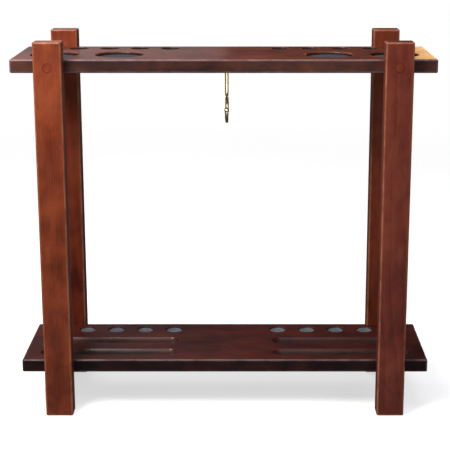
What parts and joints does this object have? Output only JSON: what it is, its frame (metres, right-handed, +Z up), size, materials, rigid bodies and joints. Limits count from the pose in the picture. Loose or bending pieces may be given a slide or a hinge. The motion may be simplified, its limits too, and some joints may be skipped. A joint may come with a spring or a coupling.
{
  "type": "floor-standing billiard cue rack",
  "caption": "Floor-standing wooden rack for billiard cues, with padded butt cups, ball grooves, drink recesses and a brass hook for the triangle.",
  "frame": {"origin": "on the floor under the middle of the rack", "axes": "+X to the right seen from the front, along the boards; +Y from front to back; +Z up"},
  "size_m": [0.762, 0.254, 0.7],
  "materials": {
    "cherry_wood": "dark cherry stain under satin lacquer",
    "plug_wood": "end-grain plug, stained and lacquered",
    "dowel_wood": "raw beech",
    "zinc_steel": "zinc plated",
    "zinc_casting": "die-cast zinc",
    "pad_rubber": "smooth blue-grey rubber",
    "pad_felt": "blue-grey felt",
    "hook_brass": "polished brass plate"
  },
  "bodies": {
    "root": {"barrel_nuts": "zinc_casting", "bolt_plugs": "plug_wood", "bottom_shelf": "cherry_wood", "cam_bolts": "zinc_steel", "cams": "zinc_casting", "connector_bolts": "zinc_steel", "cue_pad_1": "pad_rubber", "cue_pad_2": "pad_rubber", "cue_pad_3": "pad_rubber", "cue_pad_4": "pad_rubber", "cue_pad_5": "pad_rubber", "cue_pad_6": "pad_rubber", "cue_pad_7": "pad_rubber", "cue_pad_8": "pad_rubber", "dowels": "dowel_wood", "drink_pad_1": "pad_felt", "drink_pad_2": "pad_felt", "drink_pad_3": "pad_felt", "drink_pad_4": "pad_felt", "front_left_post": "cherry_wood", "front_right_post": "cherry_wood", "rear_left_post": "cherry_wood", "rear_right_post": "cherry_wood", "top_shelf": "cherry_wood", "triangle_hook": "hook_brass"}
  },
  "joints": []
}
